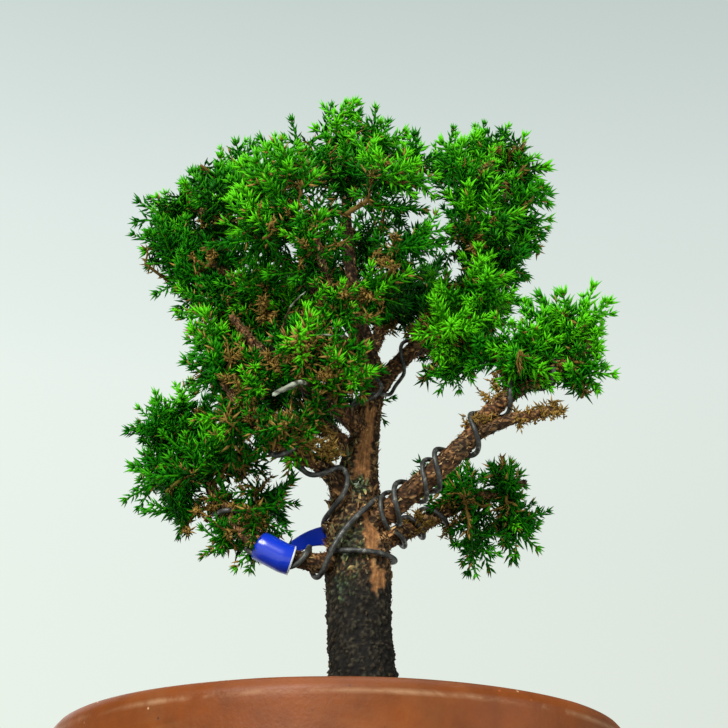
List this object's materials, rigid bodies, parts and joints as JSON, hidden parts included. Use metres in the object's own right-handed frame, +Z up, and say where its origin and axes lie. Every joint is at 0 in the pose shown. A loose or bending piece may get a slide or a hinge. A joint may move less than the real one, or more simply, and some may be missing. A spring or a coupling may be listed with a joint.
{
  "type": "potted bonsai conifer tree",
  "caption": "Small needle-leaved bonsai tree with wired branches and clipped foliage clouds, growing in a round reddish clay pot filled with soil.",
  "frame": {"origin": "centre of the pot's foot, on the surface that it stands on", "axes": "+Z up along the pot's axis; the tree's front faces -Y, and its long right branch reaches towards +X"},
  "size_m": [0.18, 0.18, 0.357],
  "materials": {
    "clay": "satin reddish-brown fired clay with a pale lime haze",
    "screen_plastic": "black moulded mesh",
    "dark_wire": "dark anodised soft aluminium, scratched",
    "gravel_stone": "rough drainage grit",
    "soil_grit": null,
    "bark": "rough flaking bark, dark at the base and reddish above",
    "leaves": "bright green needles with a soft sheen",
    "tag_plastic": "blue printed plastic strip, blank"
  },
  "bodies": {
    "root": {"pot": "clay", "drain_screen": "screen_plastic", "screen_staple": "dark_wire", "drainage_gravel": "gravel_stone", "soil": "soil_grit", "trunk": "bark", "branch_lower_left": "bark", "branch_mid_left": "bark", "branch_mid_left_upper": "bark", "branch_lower_right": "bark", "branch_right": "bark", "branch_right_twig": "bark", "branch_upper_right": "bark", "branch_right_back": "bark", "branch_crown_left": "bark", "branch_left_upper": "bark", "branch_front": "bark", "branch_crown_back": "bark", "branch_low_back": "bark", "foliage_lower_left_outer": "leaves", "foliage_lower_left_inner": "leaves", "foliage_mid_left": "leaves", "foliage_mid_left_front": "leaves", "foliage_lower_right": "leaves", "foliage_right_tip": "leaves", "foliage_right_inner": "leaves", "foliage_upper_right": "leaves", "foliage_crown_left": "leaves", "foliage_crown_left_low": "leaves", "foliage_crown_left_top": "leaves", "foliage_crown_top": "leaves", "foliage_crown_right_top": "leaves", "foliage_crown_right": "leaves", "foliage_crown_front": "leaves", "foliage_crown_back": "leaves", "foliage_low_back": "leaves", "foliage_right_back": "leaves", "wire_trunk_to_mid_left": "dark_wire", "wire_lower_left_to_right": "dark_wire", "wire_lower_right_to_right": "dark_wire", "wire_upper_right": "dark_wire", "wire_left_upper_pair": "dark_wire", "tag": "tag_plastic"}
  },
  "joints": []
}
